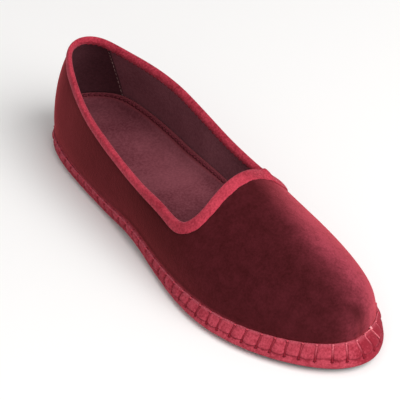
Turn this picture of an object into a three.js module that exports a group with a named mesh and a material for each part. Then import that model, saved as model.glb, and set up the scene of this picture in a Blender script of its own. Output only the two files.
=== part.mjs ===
// A velvet slip-on slipper for the right foot, standing empty on its sole.
// Millimetres, +Z up, toe towards -Y, lateral (outer) side towards -X, medial (inner) side towards +X.
import * as THREE from 'three';

// Driving sizes of the sole
const SOLE_LENGTH = 252;
const HEEL_RADIUS = 23.8; // plan radius at the back of the heel
const TOE_RADIUS = 15.4; // plan radius at the tip of the toe
const OUTSOLE_THICK = 1.5;
const MIDSOLE_THICK = 7.5;
const SEAT_GAP = 0.3; // between two pieces that meet
const WAIST = { start: 76, end: 138, lift: 2 }; // the sole clears the ground under the arch
const TOE_SPRING = { start: 182, lift: 1.8 };
const OUTSOLE_INSET = { foot: 2.6, top: 2.2 }; // the rubber stays back under the covered edge

// Driving sizes of the upper and its trim
const WALL = 1.8; // velvet and lining together
const FEATHER = OUTSOLE_THICK + MIDSOLE_THICK + 2 * SEAT_GAP; // mean height of the upper's lower edge
const SWELL = { heel: 0.8, toe: 0.3, from: 20, to: 190 }; // the wall stands out over the sole's edge
const SWELL_RISE = 8; // most at this height over the feather line
const HEEL_CREST = 64;
const TOE_CREST = 26;
const HEEL_LEAN = { top: 12.5, above: 15, over: 40, reach: 70 }; // the back curves forward towards the collar
const CREST_ROUND = 0.35; // keeps the ridge of a leaning section round
const TAPE = 0.7; // thickness of the binding tape
const TAPE_OUTSIDE = { side: 3.8, throat: 5.8 };
const TAPE_INSIDE = 2;
const INSOLE_CLEAR = 0.4;
const RIM_EDGE = 0.9; // the insole's rim is rounded off by this much
const RIM_WIDTH = { heel: 7, toe: 2.5, from: 110, to: 215 }; // the rim slopes down to the bed over this width
const LIP = 1.1; // the covered midsole's top edge reaches this far under the upper
const LOWER_TUCK = 1.1; // and its lower edge goes in by this much

// Outline of the last's sole: half widths on each side of the centre line, by distance from the heel's back
const OUTLINE = [
  { station: 10, lateral: 18.2, medial: 17.9 },
  { station: 35, lateral: 27.2, medial: 24.2 },
  { station: 75, lateral: 31.8, medial: 21.3 },
  { station: 125, lateral: 38, medial: 21.4 },
  { station: 172, lateral: 44, medial: 37.1 },
  { station: 212, lateral: 36.6, medial: 34.2 },
  { station: 240, lateral: 20.3, medial: 21.4 },
];

// How far the covered midsole stands out past that outline
const SPREAD = [
  { station: 2, lateral: 0.5, medial: 0.5 },
  { station: 25, lateral: 0.3, medial: 0.3 },
  { station: 70, lateral: 0.2, medial: 0.2 },
  { station: 125, lateral: 0.4, medial: 0.2 },
  { station: 172, lateral: 2, medial: 0 },
  { station: 225, lateral: 1.8, medial: -1 },
  { station: 242, lateral: 1.6, medial: -0.2 },
  { station: 251, lateral: 1.2, medial: 1.2 },
];

// The feather line, where the upper meets the covered midsole: how far in from the outline on each side,
// and its height over the mean
const FEATHER_LINE = [
  { station: 2, lateral: 1.1, medial: 1.1, lift: -1.2 },
  { station: 60, lateral: 1.1, medial: 1.1, lift: -1.4 },
  { station: 110, lateral: 1.1, medial: 1.1, lift: -1.1 },
  { station: 150, lateral: 2, medial: 2, lift: -0.6 },
  { station: 185, lateral: 3.4, medial: 3.2, lift: -0.2 },
  { station: 215, lateral: 4.9, medial: 3.8, lift: 0.4 },
  { station: 232, lateral: 5.7, medial: 4, lift: 1 },
  { station: 243, lateral: 6, medial: 5.6, lift: 1.8 },
  { station: 251, lateral: 7.2, medial: 7.2, lift: 2.2 },
];

// Sections of the last over that outline. Crest is the closed last's height over the mean feather line.
// A side with a taper under 1 is full, one over 1 leans in. A bulge is how far it stands out half way up.
const SECTIONS = [
  { station: 10, crest: 62, lateralTaper: 1, medialTaper: 0.9, lateralBulge: 0, medialBulge: 0 },
  { station: 35, crest: 61, lateralTaper: 0.82, medialTaper: 0.82, lateralBulge: 0, medialBulge: 1.3 },
  { station: 75, crest: 72, lateralTaper: 0.95, medialTaper: 0.86, lateralBulge: 0.4, medialBulge: 5.3 },
  { station: 125, crest: 55, lateralTaper: 1.2, medialTaper: 1.1, lateralBulge: -0.8, medialBulge: 7.4 },
  { station: 172, crest: 42.5, lateralTaper: 1.4, medialTaper: 1.7, lateralBulge: -0.5, medialBulge: 1.3 },
  { station: 212, crest: 31.6, lateralTaper: 0.95, medialTaper: 1.12, lateralBulge: 0, medialBulge: 0.2 },
  { station: 240, crest: 20.5, lateralTaper: 0.82, medialTaper: 0.8, lateralBulge: 0, medialBulge: 0 },
];

// Height of the upper's top edge over the ground along each side, heel to throat
const COLLAR = [
  { station: 0, lateral: 58.8, medial: 58.8 },
  { station: 15, lateral: 55.7, medial: 55.9 },
  { station: 32, lateral: 51.4, medial: 54.4 },
  { station: 48, lateral: 47.2, medial: 53.4 },
  { station: 64, lateral: 43.6, medial: 52.4 },
  { station: 80, lateral: 40.6, medial: 50.2 },
  { station: 96, lateral: 38.1, medial: 46.7 },
  { station: 113, lateral: 36.3, medial: 42.5 },
  { station: 131, lateral: 35, medial: 38.9 },
  { station: 148, lateral: 35.4, medial: 38.3 },
];

// The throat edge over the vamp, by its angle around the last: 0 at the feather line, 90 on the crest
const THROAT = [
  { station: 153.3, angle: 42 },
  { station: 154.3, angle: 57 },
  { station: 154, angle: 73 },
  { station: 154.3, angle: 90 },
];
const THROAT_FOOT = 158; // where the seam line from the throat's corner meets the feather line
const GIRTH_RADIUS = 45; // turns an angle around the last into a length along the edge

// Side of the covered midsole, bottom to top: tuck is a share of LOWER_TUCK, lean of the way in to the upper
const BAND_SIDE = [
  { rise: 0, tuck: 0.9, lean: 0 },
  { rise: 0.08, tuck: 0.35, lean: 0 },
  { rise: 0.22, tuck: 0, lean: 0.02 },
  { rise: 0.4, tuck: 0.15, lean: 0.14 },
  { rise: 0.6, tuck: 0, lean: 0.38 },
  { rise: 0.85, tuck: 0.04, lean: 0.8 },
  { rise: 1, tuck: 0.3, lean: 1 },
];

// The padded insole: heights of its bed and of the turned-up rim on each side over the mean feather line
const FOOTBED = [
  { station: 8, bed: 6.6, lateral: 9.6, medial: 10.8 },
  { station: 22, bed: 6.6, lateral: 9.6, medial: 13 },
  { station: 40, bed: 6.6, lateral: 9.2, medial: 13.2 },
  { station: 85, bed: 7, lateral: 8.6, medial: 13.4 },
  { station: 125, bed: 6.6, lateral: 7.8, medial: 9.8 },
  { station: 200, bed: 4, lateral: 4.6, medial: 4.6 },
  { station: 240, bed: 4.2, lateral: 5.2, medial: 5.2 },
];

// How finely the pieces are divided
const RUNGS = 44; // sections along the sole
const WALL_COLUMNS = 24; // columns of the upper along each side
const THROAT_COLUMNS = 16; // columns from each half of the throat to the toe
const UPPER_ROWS = 13;
const ROW_GATHER = 1.3; // over 1 puts the rows closer together near the feather line
const COLUMN_SAMPLES = 48;

const HALF_TURN = Math.PI;
const TOE_TIP = HALF_TURN - 1e-4;
const SMALL = 1e-6;
const MAX_SINE = 0.9; // keeps the insole's side off the centre line where the crest is low

// Natural cubic spline through the values at the knots
function spline(knots, values) {
  const count = knots.length;
  const second = new Array(count).fill(0);
  const work = new Array(count).fill(0);
  for (let i = 1; i < count - 1; i++) {
    const before = knots[i] - knots[i - 1];
    const after = knots[i + 1] - knots[i];
    const share = before / (before + after);
    const pivot = share * second[i - 1] + 2;
    const bend = (values[i + 1] - values[i]) / after - (values[i] - values[i - 1]) / before;
    second[i] = (share - 1) / pivot;
    work[i] = ((6 * bend) / (before + after) - share * work[i - 1]) / pivot;
  }
  for (let i = count - 2; i >= 0; i--) second[i] = second[i] * second[i + 1] + work[i];
  return (at) => {
    let i = 1;
    while (i < count - 1 && knots[i] < at) i++;
    const span = knots[i] - knots[i - 1];
    const left = (knots[i] - at) / span;
    const right = 1 - left;
    const bend = (left ** 3 - left) * second[i - 1] + (right ** 3 - right) * second[i];
    return left * values[i - 1] + right * values[i] + (bend * span * span) / 6;
  };
}

// A section's place is its angle phi, 0 at the heel's back and half a turn at the toe's tip, so that
// both ends of the sole come out round.
const phiOf = (station) => Math.acos(THREE.MathUtils.clamp(1 - (2 * station) / SOLE_LENGTH, -1, 1));
const stationOf = (phi) => (SOLE_LENGTH / 2) * (1 - Math.cos(phi));

// One column of a table as a smooth function of phi, as a share of a shape that is 0 at one end or both.
// Where the shape is 0, the share there is given.
function alongLast(table, column, shape, heelShare, toeShare) {
  const angles = table.map((row) => phiOf(row.station));
  const shares = table.map((row, i) => row[column] / shape(angles[i]));
  const share = spline([0, ...angles, HALF_TURN], [heelShare, ...shares, toeShare]);
  return (phi) => share(phi) * shape(phi);
}

const roundEnd = (radius) => Math.sqrt((radius * SOLE_LENGTH) / 2);
const widthAlong = (side) => alongLast(OUTLINE, side, Math.sin, roundEnd(HEEL_RADIUS), roundEnd(TOE_RADIUS));
const halfWidth = { lateral: widthAlong('lateral'), medial: widthAlong('medial') };

const even = () => 1;
function smoothColumn(table, column) {
  return alongLast(table, column, even, table[0][column], table.at(-1)[column]);
}
const bothSides = (table, lateral, medial) => {
  return { lateral: smoothColumn(table, lateral), medial: smoothColumn(table, medial) };
};
const taper = bothSides(SECTIONS, 'lateralTaper', 'medialTaper');
const bulge = bothSides(SECTIONS, 'lateralBulge', 'medialBulge');
const rim = bothSides(FOOTBED, 'lateral', 'medial');
const spread = bothSides(SPREAD, 'lateral', 'medial');
const featherInset = bothSides(FEATHER_LINE, 'lateral', 'medial');
const featherLift = smoothColumn(FEATHER_LINE, 'lift');
const bed = smoothColumn(FOOTBED, 'bed');

// The crest drops to the feather line at the toe's tip
const toeFall = (phi) => (phi > HALF_TURN / 2 ? Math.sqrt(Math.sin(phi)) : 1);
const crestOverMean = alongLast(SECTIONS, 'crest', toeFall, HEEL_CREST, TOE_CREST);
const crestHeight = (phi) => crestOverMean(phi) - featherLift(phi) * toeFall(phi);

// Crest of a surface that lies depth under the skin, down to the feather line at the toe's tip as the skin is
const crestUnder = (phi, depth) => crestHeight(phi) ** 2 / (crestHeight(phi) + depth);

// Height of the outsole's underside: flat at heel and forefoot, lifted at the waist and the toe
function ground(station) {
  const along = THREE.MathUtils.clamp((station - WAIST.start) / (WAIST.end - WAIST.start), 0, 1);
  const toe = Math.max(0, (station - TOE_SPRING.start) / (SOLE_LENGTH - TOE_SPRING.start));
  return WAIST.lift * Math.sin(Math.PI * along) ** 2 + TOE_SPRING.lift * toe ** 2;
}

// The sole's outline: turn goes from the heel's back along the lateral side to the toe and back medially
const sideAt = (turn) => (turn <= HALF_TURN ? 'lateral' : 'medial');
const phiAtTurn = (turn) => (turn <= HALF_TURN ? turn : 2 * HALF_TURN - turn);

function outline(turn) {
  const phi = phiAtTurn(turn);
  const across = turn <= HALF_TURN ? halfWidth.lateral(phi) : -halfWidth.medial(phi);
  return new THREE.Vector2(stationOf(phi), across);
}

function edge(turn, inset) {
  const step = 1e-3;
  const along = outline(turn + step).sub(outline(turn - step)).normalize();
  return outline(turn).add(new THREE.Vector2(along.y, -along.x).multiplyScalar(inset));
}

// A size that changes smoothly from its heel value to its toe value
function heelToToe(size, station) {
  const share = THREE.MathUtils.smoothstep(station, size.from, size.to);
  return THREE.MathUtils.lerp(size.heel, size.toe, share);
}

// How far the wall stands out over the sole's edge, by its height over the feather line
function swell(phi, rise) {
  const share = rise / SWELL_RISE;
  return heelToToe(SWELL, stationOf(phi)) * share * Math.exp(1 - share);
}

// How far a section reaches towards its foot, 1 or -1, at the cosine of an angle around the last
function reach(cosine, sideTaper) {
  const rounded = (cosine * cosine + CREST_ROUND ** 2) / (1 + CREST_ROUND ** 2);
  return cosine * rounded ** ((sideTaper - 1) / 2);
}

const place = (station, across, height) => new THREE.Vector3(-across, SOLE_LENGTH / 2 - station, height);

// A point of the upper's skin, or of a surface that lies depth under it: theta goes from the lateral
// feather line over the crest to the medial one.
function lastPoint(phi, theta, depth) {
  const rise = crestUnder(phi, depth) * Math.sin(theta);
  const under = depth - swell(phi, rise);
  const lateralFoot = edge(phi, featherInset.lateral(phi) + under);
  const medialFoot = edge(2 * HALF_TURN - phi, featherInset.medial(phi) + under);
  const side = Math.cos(theta) >= 0 ? 'lateral' : 'medial';
  const toFoot = reach(Math.cos(theta), taper[side](phi));
  const footWidth = side === 'lateral' ? lateralFoot.y : -medialFoot.y;
  const across = footWidth * toFoot + bulge[side](phi) * Math.sin(2 * theta);
  const flat = (lateralFoot.x * (1 + toFoot) + medialFoot.x * (1 - toFoot)) / 2;
  const nearHeel = Math.max(0, 1 - flat / HEEL_LEAN.reach) ** 2;
  const lean = HEEL_LEAN.top * nearHeel * (Math.max(0, rise - HEEL_LEAN.above) / HEEL_LEAN.over) ** 2;
  return place(flat + lean, across, FEATHER + featherLift(phi) + ground(flat) + rise);
}

// The top edge of one side, heel to the middle of the throat, as a curve of phi and theta over a length.
// Rows repeated past both ends keep it smooth where it meets the other side.
function topEdge(side) {
  const wall = COLLAR.map((row) => {
    const phi = phiOf(row.station);
    const rise = row[side] - FEATHER - featherLift(phi) - ground(row.station);
    return { phi, theta: Math.asin(rise / crestHeight(phi)) };
  });
  const throat = THROAT.map((row) => {
    return { phi: phiOf(row.station), theta: THREE.MathUtils.degToRad(row.angle) };
  });
  const chain = [...wall, ...throat];
  const last = chain.length - 1;
  const behind = [2, 1].map((i) => ({ phi: -chain[i].phi, theta: chain[i].theta }));
  const across = [last - 1, last - 2].map((i) => ({ phi: chain[i].phi, theta: Math.PI - chain[i].theta }));
  const rows = [...behind, ...chain, ...across];
  const lengths = [0];
  for (let i = 1; i < rows.length; i++) {
    const along = ((rows[i].phi - rows[i - 1].phi) * SOLE_LENGTH) / 2;
    const around = (rows[i].theta - rows[i - 1].theta) * GIRTH_RADIUS;
    lengths.push(lengths[i - 1] + Math.hypot(along, around));
  }
  const phiAt = spline(lengths, rows.map((row) => row.phi));
  const thetaAt = spline(lengths, rows.map((row) => row.theta));
  return {
    at: (length) => ({ phi: Math.max(0, phiAt(length)), theta: thetaAt(length) }),
    start: lengths[2],
    corner: lengths[2 + wall.length - 1],
    end: lengths[2 + last],
  };
}

// Angle around the last of a point that lies a share of the half width from the centre line
function thetaAtShare(share, sideTaper) {
  let low = 0;
  let high = Math.PI / 2;
  for (let i = 0; i < 40; i++) {
    const middle = (low + high) / 2;
    if (reach(Math.cos(middle), sideTaper) > share) low = middle;
    else high = middle;
  }
  return (low + high) / 2;
}

// A column runs over the skin from the top edge to the feather line. Along the sides it goes straight down,
// and from the throat it fans out over the vamp, straight as seen from above. Throat, 0 to 1, tells how near
// its top is to the middle of the throat.
function makeColumn(side, top, footPhi, fan, throat) {
  const topStation = stationOf(top.phi);
  const topAcross = reach(Math.cos(top.theta), taper[side](top.phi)) * halfWidth[side](top.phi);
  const samples = [];
  for (let i = 0; i <= COLUMN_SAMPLES; i++) {
    const share = 1 - (1 - i / COLUMN_SAMPLES) ** 2;
    const fanPhi = Math.min(phiOf(THREE.MathUtils.lerp(topStation, stationOf(footPhi), share)), TOE_TIP);
    const fanAcross = THREE.MathUtils.lerp(topAcross, halfWidth[side](footPhi), share);
    const fanShare = THREE.MathUtils.clamp(fanAcross / halfWidth[side](fanPhi), 0, 1);
    const fanTheta = i === COLUMN_SAMPLES ? 0 : thetaAtShare(fanShare, taper[side](fanPhi));
    const phi = THREE.MathUtils.lerp(THREE.MathUtils.lerp(top.phi, footPhi, share), fanPhi, fan);
    const nearTheta = THREE.MathUtils.lerp(top.theta * (1 - share), fanTheta, fan);
    samples.push({ phi, theta: side === 'lateral' ? nearTheta : Math.PI - nearTheta });
  }
  const points = samples.map((sample) => lastPoint(sample.phi, sample.theta, 0));
  const lengths = [0];
  for (let i = 1; i < points.length; i++) lengths.push(lengths[i - 1] + points[i].distanceTo(points[i - 1]));
  const at = (length) => {
    let i = 1;
    while (i < COLUMN_SAMPLES && lengths[i] < length) i++;
    const share = (length - lengths[i - 1]) / (lengths[i] - lengths[i - 1]);
    const mix = (name) => THREE.MathUtils.lerp(samples[i - 1][name], samples[i][name], share);
    return { phi: mix('phi'), theta: mix('theta') };
  };
  return { at, length: lengths.at(-1), throat };
}

// Columns all around the opening: heel, lateral side, throat, medial side
function makeColumns() {
  const count = WALL_COLUMNS + THROAT_COLUMNS;
  const footCorner = phiOf(THROAT_FOOT);
  const sideColumns = (side) => {
    const top = topEdge(side);
    const columns = [];
    for (let i = 0; i <= count; i++) {
      const alongWall = Math.min(1, i / WALL_COLUMNS);
      const alongThroat = Math.max(0, (i - WALL_COLUMNS) / THROAT_COLUMNS);
      const wallLength = (top.corner - top.start) * alongWall;
      const topPoint = top.at(top.start + wallLength + (top.end - top.corner) * alongThroat);
      const cornerPhi = top.at(top.corner).phi;
      const wallFoot = (topPoint.phi / cornerPhi) * footCorner;
      const toeFoot = THREE.MathUtils.lerp(footCorner, TOE_TIP, alongThroat);
      const foot = i <= WALL_COLUMNS ? wallFoot : toeFoot;
      const fan = THREE.MathUtils.smoothstep(alongThroat, 0, 0.35);
      const throat = THREE.MathUtils.smoothstep(alongWall + alongThroat, 0.75, 1.2);
      columns.push(makeColumn(side, topPoint, foot, fan, throat));
    }
    return columns;
  };
  const lateral = sideColumns('lateral');
  const medial = sideColumns('medial');
  return [...lateral, ...medial.slice(1, -1).reverse()];
}

// A closed mesh from points and quads or triangles, with its faces pointing out
function closedGeometry(points, faces) {
  const triangles = [];
  for (const [a, b, c, d] of faces) {
    if (d === undefined) {
      triangles.push([a, b, c]);
    } else if (points[a].distanceTo(points[c]) < points[b].distanceTo(points[d])) {
      triangles.push([a, b, c], [a, c, d]);
    } else {
      triangles.push([a, b, d], [b, c, d]);
    }
  }
  const cross = new THREE.Vector3();
  let volume = 0;
  for (const [a, b, c] of triangles) volume += points[a].dot(cross.crossVectors(points[b], points[c]));
  const turned = volume < 0 ? triangles.map(([a, b, c]) => [a, c, b]) : triangles;
  const geometry = new THREE.BufferGeometry().setFromPoints(points);
  geometry.setIndex(turned.flat());
  geometry.computeVertexNormals();
  return geometry;
}

// A ring-shaped solid from closed sections that follow each other all around
function ringGeometry(sections) {
  const size = sections[0].length;
  const faces = [];
  sections.forEach((_, i) => {
    const next = (i + 1) % sections.length;
    for (let j = 0; j < size; j++) {
      const up = (j + 1) % size;
      faces.push([i * size + j, next * size + j, next * size + up, i * size + up]);
    }
  });
  return closedGeometry(sections.flat(), faces);
}

// A sole-shaped slab from levels, bottom to top: each gives its point at a turn around the outline
function slabGeometry(levels) {
  const around = 2 * RUNGS;
  const points = [];
  for (const level of levels) {
    for (let k = 0; k < around; k++) points.push(level((HALF_TURN * k) / RUNGS));
  }
  const faces = [];
  for (let row = 0; row < levels.length - 1; row++) {
    for (let k = 0; k < around; k++) {
      const next = (k + 1) % around;
      faces.push([row * around + k, row * around + next, (row + 1) * around + next, (row + 1) * around + k]);
    }
  }
  const cap = (base, flip) => {
    const rungs = [[0, 1, around - 1]];
    for (let k = 1; k < RUNGS - 1; k++) rungs.push([k, k + 1, around - k - 1, around - k]);
    rungs.push([RUNGS - 1, RUNGS, RUNGS + 1]);
    for (const rung of rungs) {
      const face = rung.map((k) => base + k);
      faces.push(flip ? face.reverse() : face);
    }
  };
  cap(0, true);
  cap((levels.length - 1) * around, false);
  return closedGeometry(points, faces);
}

// A level of the sole: its inset from the midsole's widest line, lean as a share of the way from there in to
// the upper, and its rise over the underside
const soleLevel = (inset, lean, rise) => (turn) => {
  const phi = phiAtTurn(turn);
  const stand = spread[sideAt(turn)](phi);
  const at = edge(turn, inset - stand + lean * (featherInset[sideAt(turn)](phi) - LIP + stand));
  return place(at.x, at.y, ground(at.x) + rise(phi));
};

function makeOutsole() {
  return slabGeometry([
    soleLevel(OUTSOLE_INSET.foot, 0, () => 0),
    soleLevel(OUTSOLE_INSET.top, 0, () => OUTSOLE_THICK / 2),
    soleLevel(OUTSOLE_INSET.top, 0, () => OUTSOLE_THICK),
  ]);
}

function makeMidsole() {
  const base = OUTSOLE_THICK + SEAT_GAP;
  const level = (row) => {
    const height = (phi) => base + row.rise * (MIDSOLE_THICK + featherLift(phi));
    return soleLevel(row.tuck * LOWER_TUCK, row.lean, height);
  };
  return slabGeometry(BAND_SIDE.map(level));
}

// The padded insole: its side and rim follow the upper's inner face
function makeInsole() {
  const level = (riseAt, inward) => (turn) => {
    const phi = phiAtTurn(turn);
    const side = sideAt(turn);
    const rise = riseAt(phi, side);
    const depth = WALL + INSOLE_CLEAR + inward(phi);
    const theta = Math.asin(Math.min(MAX_SINE, rise / Math.max(crestUnder(phi, depth), SMALL)));
    const point = lastPoint(phi, side === 'lateral' ? theta : Math.PI - theta, depth);
    return point.setZ(FEATHER + featherLift(phi) + ground(SOLE_LENGTH / 2 - point.y) + rise);
  };
  const flush = () => 0;
  const rimRise = (phi, side) => rim[side](phi) - featherLift(phi);
  return slabGeometry([
    level(flush, flush),
    level((phi, side) => rimRise(phi, side) / 2, flush),
    level((phi, side) => rimRise(phi, side) - RIM_EDGE, flush),
    level(rimRise, () => RIM_EDGE),
    level((phi) => bed(phi) - featherLift(phi), (phi) => heelToToe(RIM_WIDTH, stationOf(phi))),
  ]);
}

// The upper: one hollow wall, open at the collar and underneath
function makeUpper(columns) {
  const rowShares = [];
  for (let i = 0; i <= UPPER_ROWS; i++) rowShares.push(1 - (1 - i / UPPER_ROWS) ** ROW_GATHER);
  const sections = columns.map((column) => {
    const nodes = rowShares.map((share) => column.at(share * column.length));
    const skin = nodes.map((node) => lastPoint(node.phi, node.theta, 0));
    const lining = nodes.map((node) => lastPoint(node.phi, node.theta, WALL));
    return [...skin, ...lining.reverse()];
  });
  return ringGeometry(sections);
}

// The binding: a tape folded over the upper's top edge, on the same columns
function makeBinding(columns) {
  const fold = SEAT_GAP + TAPE;
  const outBack = -SEAT_GAP;
  const outFace = -fold;
  const inBack = WALL + SEAT_GAP;
  const inFace = WALL + fold;
  const shoulder = 0.7; // how far the fold has come over at the middle of each bend
  const tapeSection = (outside) => [
    { drop: outside, lift: 0, depth: outFace },
    { drop: outside / 2, lift: 0, depth: outFace },
    { drop: 0, lift: 0, depth: outFace },
    { drop: 0, lift: fold * shoulder, depth: outFace * shoulder },
    { drop: 0, lift: fold, depth: WALL / 2 },
    { drop: 0, lift: fold * shoulder, depth: WALL + fold * shoulder },
    { drop: 0, lift: 0, depth: inFace },
    { drop: TAPE_INSIDE / 2, lift: 0, depth: inFace },
    { drop: TAPE_INSIDE, lift: 0, depth: inFace },
    { drop: TAPE_INSIDE, lift: 0, depth: inBack },
    { drop: TAPE_INSIDE / 2, lift: 0, depth: inBack },
    { drop: 0, lift: SEAT_GAP, depth: inBack },
    { drop: 0, lift: SEAT_GAP, depth: outBack },
    { drop: outside / 2, lift: 0, depth: outBack },
    { drop: outside, lift: 0, depth: outBack },
  ];
  const sections = columns.map((column) => {
    const skinAt = (drop, depth) => {
      const node = column.at(drop);
      return lastPoint(node.phi, node.theta, depth);
    };
    const upward = skinAt(0, WALL / 2).sub(skinAt(TAPE, WALL / 2)).normalize();
    const outside = THREE.MathUtils.lerp(TAPE_OUTSIDE.side, TAPE_OUTSIDE.throat, column.throat);
    return tapeSection(outside).map((row) => skinAt(row.drop, row.depth).addScaledVector(upward, row.lift));
  });
  return ringGeometry(sections);
}

const rubber = new THREE.MeshStandardMaterial({ color: 0x3b302e, roughness: 0.8, metalness: 0 });
const bandCloth = new THREE.MeshStandardMaterial({ color: 0xb23a4a, roughness: 0.9, metalness: 0 });
const sockCloth = new THREE.MeshStandardMaterial({ color: 0x5f343d, roughness: 0.95, metalness: 0 });
const velvet = new THREE.MeshStandardMaterial({ color: 0x5a1a22, roughness: 0.95, metalness: 0 });
const tapeCloth = new THREE.MeshStandardMaterial({ color: 0xb8394c, roughness: 0.9, metalness: 0 });

function piece(name, geometry, material) {
  const mesh = new THREE.Mesh(geometry, material);
  mesh.name = name;
  return mesh;
}

const columns = makeColumns();
const slipper = new THREE.Group();
slipper.add(
  piece('outsole', makeOutsole(), rubber),
  piece('midsole', makeMidsole(), bandCloth),
  piece('insole', makeInsole(), sockCloth),
  piece('upper', makeUpper(columns), velvet),
  piece('topline_binding', makeBinding(columns), tapeCloth),
);

// The origin is on the ground, under the middle of the slipper
const extent = new THREE.Box3().setFromObject(slipper);
const middle = extent.getCenter(new THREE.Vector3());
slipper.position.set(-middle.x, -middle.y, -extent.min.z);

export default slipper;
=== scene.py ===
import math
import random
from bisect import bisect_left

import bmesh
import bpy
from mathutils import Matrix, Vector


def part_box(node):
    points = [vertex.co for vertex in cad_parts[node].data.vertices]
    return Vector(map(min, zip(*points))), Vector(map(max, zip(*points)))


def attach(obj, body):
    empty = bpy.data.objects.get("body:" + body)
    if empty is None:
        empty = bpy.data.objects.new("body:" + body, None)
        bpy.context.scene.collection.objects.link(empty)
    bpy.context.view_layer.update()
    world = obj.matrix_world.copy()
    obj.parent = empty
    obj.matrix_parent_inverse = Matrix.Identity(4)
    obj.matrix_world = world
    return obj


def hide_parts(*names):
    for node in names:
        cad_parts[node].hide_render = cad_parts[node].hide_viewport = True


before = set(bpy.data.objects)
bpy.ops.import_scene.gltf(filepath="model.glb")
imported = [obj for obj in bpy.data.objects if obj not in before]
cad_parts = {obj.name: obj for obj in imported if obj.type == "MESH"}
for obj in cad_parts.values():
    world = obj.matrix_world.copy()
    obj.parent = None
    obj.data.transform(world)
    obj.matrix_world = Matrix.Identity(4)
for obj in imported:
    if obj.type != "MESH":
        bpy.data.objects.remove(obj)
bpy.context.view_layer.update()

mm = 0.001
halfTurn = math.pi
dice = random.Random(11)

# The last that every piece is shaped on, in millimetres. Station runs from the heel's back to the toe,
# across is positive on the lateral side, and phi is a section's place as an angle, 0 at the heel.
last = {
    "length": 252.0,
    "heelRadius": 23.8,
    "toeRadius": 15.4,
    "crestAtHeel": 64.0,
    "crestAtToe": 26.0,
    "crestRound": 0.35,
    "wall": 1.8,
    "feather": 9.6,  # mean height of the upper's lower edge
    "swell": {"heel": 0.8, "toe": 0.3, "start": 20.0, "end": 190.0, "rise": 8.0},
    "heelLean": {"top": 12.5, "above": 15.0, "over": 40.0, "reach": 70.0},
    "waist": {"start": 76.0, "end": 138.0, "lift": 2.0},
    "toeSpring": {"start": 182.0, "lift": 1.8},
    "throatFoot": 158.0,
    "girthRadius": 45.0,
}
outlineRows = [  # station, lateral and medial half width of the sole
    (10, 18.2, 17.9), (35, 27.2, 24.2), (75, 31.8, 21.3), (125, 38.0, 21.4), (172, 44.0, 37.1),
    (212, 36.6, 34.2), (240, 20.3, 21.4),
]
spreadRows = [  # station, how far the covered midsole stands out past the outline on each side
    (2, 0.5, 0.5), (25, 0.3, 0.3), (70, 0.2, 0.2), (125, 0.4, 0.2), (172, 2.0, 0.0),
    (225, 1.8, -1.0), (242, 1.6, -0.2), (251, 1.2, 1.2),
]
featherRows = [  # station, lateral and medial distance in from the outline, height over the mean
    (2, 1.1, 1.1, -1.2), (60, 1.1, 1.1, -1.4), (110, 1.1, 1.1, -1.1), (150, 2.0, 2.0, -0.6),
    (185, 3.4, 3.2, -0.2), (215, 4.9, 3.8, 0.4), (232, 5.7, 4.0, 1.0), (243, 6.0, 5.6, 1.8),
    (251, 7.2, 7.2, 2.2),
]
sectionRows = [  # station, crest, lateral and medial taper, lateral and medial bulge
    (10, 62.0, 1.0, 0.9, 0.0, 0.0), (35, 61.0, 0.82, 0.82, 0.0, 1.3),
    (75, 72.0, 0.95, 0.86, 0.4, 5.3), (125, 55.0, 1.2, 1.1, -0.8, 7.4),
    (172, 42.5, 1.4, 1.7, -0.5, 1.3), (212, 31.6, 0.95, 1.12, 0.0, 0.2),
    (240, 20.5, 0.82, 0.8, 0.0, 0.0),
]
collarRows = [  # station, lateral and medial height of the top edge
    (0, 58.8, 58.8), (15, 55.7, 55.9), (32, 51.4, 54.4), (48, 47.2, 53.4), (64, 43.6, 52.4),
    (80, 40.6, 50.2), (96, 38.1, 46.7), (113, 36.3, 42.5), (131, 35.0, 38.9), (148, 35.4, 38.3),
]
throatRows = [(153.3, 42.0), (154.3, 57.0), (154.0, 73.0), (154.3, 90.0)]  # station, angle around the last


def mix(a, b, share):
    return a + (b - a) * share


def clamp(value, low=0.0, high=1.0):
    return max(low, min(high, value))


def ease(value, start, end):
    share = clamp((value - start) / (end - start))
    return share * share * (3 - 2 * share)


def hump(distance, width):  # a soft bell, 1 in the middle
    return math.exp(-((distance / width) ** 2))


def spanAt(known, value):  # the span of a rising list that holds the value, and how far through it
    i = bisect_left(known, value, 1, len(known) - 1)
    return i - 1, (value - known[i - 1]) / (known[i] - known[i - 1])


def smoothLine(knots, values):  # natural cubic curve through the values at the knots
    count = len(knots)
    second = [0.0] * count
    work = [0.0] * count
    for i in range(1, count - 1):
        before = knots[i] - knots[i - 1]
        after = knots[i + 1] - knots[i]
        share = before / (before + after)
        pivot = share * second[i - 1] + 2
        bend = (values[i + 1] - values[i]) / after - (values[i] - values[i - 1]) / before
        second[i] = (share - 1) / pivot
        work[i] = (6 * bend / (before + after) - share * work[i - 1]) / pivot
    for i in range(count - 2, -1, -1):
        second[i] = second[i] * second[i + 1] + work[i]

    def at(x):
        i, right = spanAt(knots, x)
        left = 1 - right
        bend = (left**3 - left) * second[i] + (right**3 - right) * second[i + 1]
        return left * values[i] + right * values[i + 1] + bend * (knots[i + 1] - knots[i]) ** 2 / 6

    return at


def runningLengths(points, unit=1.0):  # distance along a chain of points, from its start
    lengths = [0.0]
    for one, two in zip(points, points[1:]):
        lengths.append(lengths[-1] + (two - one).length / unit)
    return lengths


def halve(low, high, isLow, rounds):  # narrows a range down to the place where isLow stops being true
    for _ in range(rounds):
        middle = (low + high) / 2
        if isLow(middle):
            low = middle
        else:
            high = middle
    return low, high


def phiOf(station):
    return math.acos(clamp(1 - 2 * station / last["length"], -1, 1))


def stationOf(phi):
    return last["length"] / 2 * (1 - math.cos(phi))


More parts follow.
